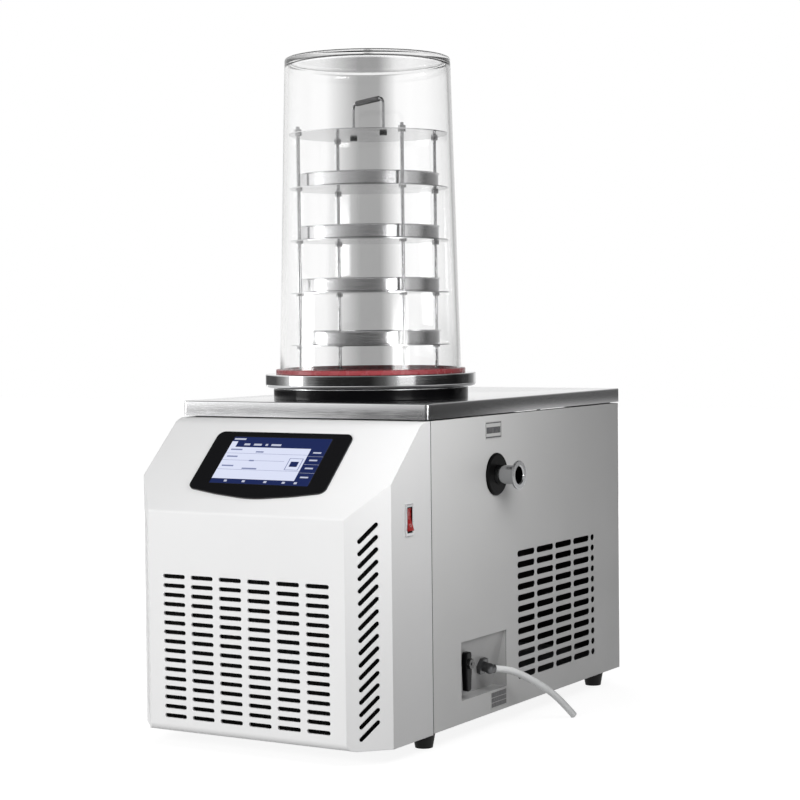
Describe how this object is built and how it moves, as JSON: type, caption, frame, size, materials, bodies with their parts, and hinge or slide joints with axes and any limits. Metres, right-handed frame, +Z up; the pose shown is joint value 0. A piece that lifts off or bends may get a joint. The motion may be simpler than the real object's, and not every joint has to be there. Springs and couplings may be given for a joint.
{
  "type": "bench-top freeze dryer",
  "caption": "Bench-top freeze dryer: cabinet with sloped display and drain recess, cold trap, flange ring and clear bell jar over a rack of round trays.",
  "frame": {"origin": "middle of the object's footprint on the bench, free hose left out", "axes": "+Z up the jar, +X to the side with the vacuum port and the drain, -Y to the front with the display"},
  "size_m": [0.4736, 0.74, 0.949],
  "materials": {
    "base_steel": "satin",
    "foot_rubber": "matt",
    "fastener_steel": "satin",
    "frame_steel": "satin",
    "panel_paint": "fine texture",
    "deck_steel": "brushed",
    "cover_white": "satin",
    "bezel_black": "gloss",
    "screen_lit": "gloss",
    "black_plastic": "satin",
    "rocker_red": "gloss",
    "plate_grey": "satin",
    "port_steel": "polished",
    "black_rubber": "matt",
    "recess_paint": "satin",
    "valve_brass": "plated",
    "lever_black": "satin",
    "hose_silicone": "translucent",
    "trap_steel": "satin",
    "collar_black": "satin",
    "flange_steel": "polished",
    "gasket_red": "satin",
    "jar_clear": "clear",
    "copper": "satin",
    "foam_black": "matt",
    "rack_steel": "satin",
    "tray_steel": "satin",
    "fin_aluminium": "satin",
    "motor_black": "satin",
    "compressor_black": "gloss",
    "board_green": "satin",
    "supply_aluminium": "satin"
  },
  "bodies": {
    "cabinet": {"base_pan": "base_steel", "feet": "foot_rubber", "base_bolts": "fastener_steel", "inner_frame": "frame_steel", "side_panel_right": "panel_paint", "side_panel_left": "panel_paint", "rear_panel": "panel_paint", "panel_screws": "fastener_steel", "top_plate": "deck_steel", "front_cover": "cover_white", "display_bezel": "bezel_black", "display_screen": "screen_lit", "switch_frame": "black_plastic", "label_plates": "plate_grey", "port_pipe": "port_steel", "port_grommet": "black_rubber", "drain_recess": "recess_paint", "drain_valve_body": "valve_brass", "drain_fitting": "fastener_steel", "drain_pipe": "trap_steel", "drain_hose": "hose_silicone", "cold_trap": "trap_steel", "chamber_collar": "collar_black", "flange_ring": "flange_steel", "jar_gasket": "gasket_red", "bell_jar": "jar_clear", "evaporator_coil": "copper", "trap_insulation": "foam_black", "rack_base": "rack_steel", "rack_top_disc": "rack_steel", "shelf_disc_1": "rack_steel", "shelf_disc_2": "rack_steel", "shelf_disc_3": "rack_steel", "shelf_disc_4": "rack_steel", "tray_1": "tray_steel", "tray_2": "tray_steel", "tray_3": "tray_steel", "tray_4": "tray_steel", "rack_rods": "rack_steel", "rack_nuts": "fastener_steel", "rack_handle": "rack_steel", "condenser": "fin_aluminium", "fan_shroud": "motor_black", "fan_motor": "motor_black", "fan_bracket": "frame_steel", "compressor": "compressor_black", "compressor_grommets": "black_rubber", "discharge_line": "copper", "liquid_line": "copper", "suction_line": "copper", "electronics_shelf": "frame_steel", "control_board": "board_green", "power_supply": "supply_aluminium", "power_inlet": "black_plastic", "pump_outlet": "black_plastic"},
    "rocker": {"switch_rocker": "rocker_red"},
    "drain_handle": {"drain_stem": "valve_brass", "drain_lever": "lever_black", "lever_nut": "fastener_steel"},
    "fan": {"fan_blade": "black_plastic"}
  },
  "joints": [
    {"name": "rocker_tilt", "type": "hinge", "parent": "cabinet", "child": "rocker", "pos_m": [0.17955, -0.281, 0.3135], "axis": [0, 1, 0], "range_deg": [0, 18]},
    {"name": "drain_turn", "type": "hinge", "parent": "cabinet", "child": "drain_handle", "pos_m": [0.17087, -0.1255, 0.1015], "axis": [1, 0, 0], "range_deg": [0, 90]},
    {"name": "fan_spin", "type": "hinge", "parent": "cabinet", "child": "fan", "pos_m": [-0.01825, -0.238, 0.1393], "axis": [0, 1, 0], "continuous": true}
  ]
}
